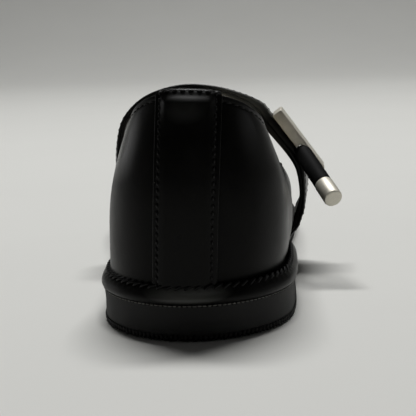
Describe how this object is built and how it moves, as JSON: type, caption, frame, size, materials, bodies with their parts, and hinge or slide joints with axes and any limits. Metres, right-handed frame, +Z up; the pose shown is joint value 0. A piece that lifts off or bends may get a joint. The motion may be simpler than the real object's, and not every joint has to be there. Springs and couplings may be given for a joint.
{
  "type": "ballet flat",
  "caption": "Right ballet flat in smooth black leather with a low rubber sole, rolled rand, heel strip, instep strap and a nickel bar clasp on the outer side.",
  "frame": {"origin": "middle of the box round the whole shoe, on the floor", "axes": "+Y from heel to toe, +X to the outer side of the right foot, +Z up"},
  "size_m": [0.0994, 0.2536, 0.0751],
  "materials": {
    "black_leather": "smooth satin black",
    "black_rubber": "matte black",
    "pale_leather": "plain matte",
    "satin_nickel": "satin nickel",
    "black_lacquer": "smooth black"
  },
  "bodies": {
    "root": {"outsole": "black_rubber", "sock": "pale_leather", "upper": "black_leather", "rand": "black_leather", "heel_strip": "black_leather", "strap": "black_leather", "clasp_plate": "satin_nickel", "clasp_bar": "black_lacquer", "bar_cap": "satin_nickel"}
  },
  "joints": []
}
